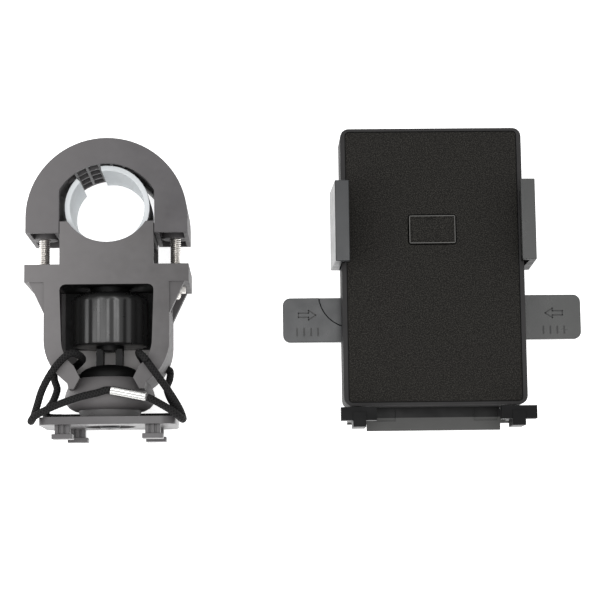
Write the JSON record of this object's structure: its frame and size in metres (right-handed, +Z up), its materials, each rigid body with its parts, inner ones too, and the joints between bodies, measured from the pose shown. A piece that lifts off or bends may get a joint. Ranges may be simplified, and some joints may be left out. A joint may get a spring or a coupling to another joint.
{
  "type": "phone mount",
  "caption": "Handlebar phone mount in two halves: a bolted clamp with a locking ball joint and hook plate, and a cradle with geared spring jaws and a pull-out foot.",
  "frame": {"origin": "middle of the bounding box, on the table the two halves lie on", "axes": "+X to the right along both halves, +Y from the cradle's feet to its head and from the plate to the handlebar arch, +Z up from the table"},
  "size_m": [0.1968, 0.1102, 0.0378],
  "materials": {
    "black_plastic": "satin moulded",
    "gloss_black_plastic": "polished",
    "jaw_plastic": "satin moulded",
    "grey_rubber": "matte",
    "black_rubber": "matte",
    "grip_sheet": "fine grain",
    "bright_steel": "bright",
    "crimp_metal": "polished",
    "elastic_cord": "braided",
    "white_nylon": "smooth"
  },
  "bodies": {
    "clamp": {"clamp_frame": "black_plastic", "handlebar_sleeve": "grey_rubber", "nut_left": "bright_steel", "nut_right": "bright_steel", "knob_washer": "white_nylon", "tether_cord": "elastic_cord", "tether_crimp": "crimp_metal"},
    "arch": {"clamp_arch": "black_plastic", "washer_left": "bright_steel", "washer_right": "bright_steel"},
    "left_bolt": {"bolt_left": "bright_steel"},
    "right_bolt": {"bolt_right": "bright_steel"},
    "knob": {"lock_knob": "gloss_black_plastic"},
    "plunger": {"lock_plunger": "black_plastic"},
    "ball_tilt": {"pressure_pad": "white_nylon"},
    "ball": {"swivel_ball": "gloss_black_plastic"},
    "plate": {"release_plate": "black_plastic", "plate_screw": "bright_steel"},
    "cradle": {"cradle_shell": "black_plastic", "grip_pad": "grip_sheet", "back_cover": "black_plastic", "cover_screw_1": "bright_steel", "cover_screw_2": "bright_steel", "cover_screw_3": "bright_steel", "cover_screw_4": "bright_steel", "pinion_pin": "bright_steel", "latch_pin": "bright_steel", "jaw_spring_upper": "bright_steel", "jaw_spring_lower": "bright_steel", "latch_spring": "bright_steel"},
    "right_jaw": {"right_jaw_slider": "jaw_plastic", "right_jaw_pad": "black_rubber"},
    "left_jaw": {"left_jaw_slider": "jaw_plastic", "left_jaw_pad": "black_rubber"},
    "pinion": {"sync_pinion": "white_nylon"},
    "button": {"trigger_button": "grip_sheet"},
    "latch": {"latch_lever": "black_plastic"},
    "foot": {"foot_tray": "jaw_plastic"}
  },
  "joints": [
    {"name": "arch_lift", "type": "slide", "parent": "clamp", "child": "arch", "axis": [0, 1, 0], "range_m": [0, 0.006]},
    {"name": "left_bolt_turn", "type": "hinge", "parent": "arch", "child": "left_bolt", "pos_m": [-0.09315, 0.0259, 0.017], "axis": [0, 1, 0], "range_deg": [0, 3086]},
    {"name": "right_bolt_turn", "type": "hinge", "parent": "arch", "child": "right_bolt", "pos_m": [-0.04655, 0.0259, 0.017], "axis": [0, 1, 0], "range_deg": [0, 3086]},
    {"name": "knob_turn", "type": "hinge", "parent": "clamp", "child": "knob", "pos_m": [-0.06985, -0.0111, 0.017], "axis": [0, 1, 0], "range_deg": [0, 288]},
    {"name": "plunger_travel", "type": "slide", "parent": "clamp", "child": "plunger", "axis": [0, 1, 0], "range_m": [0, 0.0008]},
    {"name": "ball_nod", "type": "hinge", "parent": "clamp", "child": "ball_tilt", "pos_m": [-0.06985, -0.0415, 0.017], "axis": [1, 0, 0], "range_deg": [-10, 10], "deforming": ["tether_cord"]},
    {"name": "ball_lean", "type": "hinge", "parent": "ball_tilt", "child": "ball", "pos_m": [-0.06985, -0.0415, 0.017], "axis": [0, 0, 1], "range_deg": [-10, 10], "deforming": ["tether_cord"]},
    {"name": "plate_spin", "type": "hinge", "parent": "ball", "child": "plate", "pos_m": [-0.06985, -0.0415, 0.017], "axis": [0, 1, 0], "range_deg": [-45, 45], "deforming": ["tether_cord"]},
    {"name": "cradle_lift", "type": "slide", "parent": "clamp", "child": "cradle", "axis": [0, 0, 1], "range_m": [0, 0.06]},
    {"name": "right_jaw_open", "type": "slide", "parent": "cradle", "child": "right_jaw", "axis": [1, 0, 0], "range_m": [0, 0.018], "stiffness_N_per_m": 60, "deforming": ["jaw_spring_upper"]},
    {"name": "left_jaw_open", "type": "slide", "parent": "cradle", "child": "left_jaw", "axis": [-1, 0, 0], "range_m": [0, 0.018], "deforming": ["jaw_spring_lower"]},
    {"name": "pinion_turn", "type": "hinge", "parent": "cradle", "child": "pinion", "pos_m": [0.04495, 0.0095, 0.011], "axis": [0, 0, 1], "range_deg": [0, 172]},
    {"name": "button_press", "type": "slide", "parent": "cradle", "child": "button", "axis": [0, 0, -1], "range_m": [0, 0.0008], "stiffness_N_per_m": 400},
    {"name": "latch_tip", "type": "hinge", "parent": "cradle", "child": "latch", "pos_m": [0.04495, 0.0295, 0.0165], "axis": [1, 0, 0], "range_deg": [0, 3.6], "deforming": ["latch_spring"]},
    {"name": "foot_pull", "type": "slide", "parent": "cradle", "child": "foot", "axis": [0, -1, 0], "range_m": [0, 0.012]}
  ],
  "couplings": [
    {"joint": "left_bolt_turn", "follows": "arch_lift", "rad_per_m": 8976},
    {"joint": "right_bolt_turn", "follows": "arch_lift", "rad_per_m": 8976},
    {"joint": "plunger_travel", "follows": "knob_turn", "m_per_rad": 0.00015915},
    {"joint": "left_jaw_open", "follows": "right_jaw_open", "ratio": 1},
    {"joint": "pinion_turn", "follows": "right_jaw_open", "rad_per_m": 166.67},
    {"joint": "latch_tip", "follows": "button_press", "rad_per_m": 76.9}
  ]
}
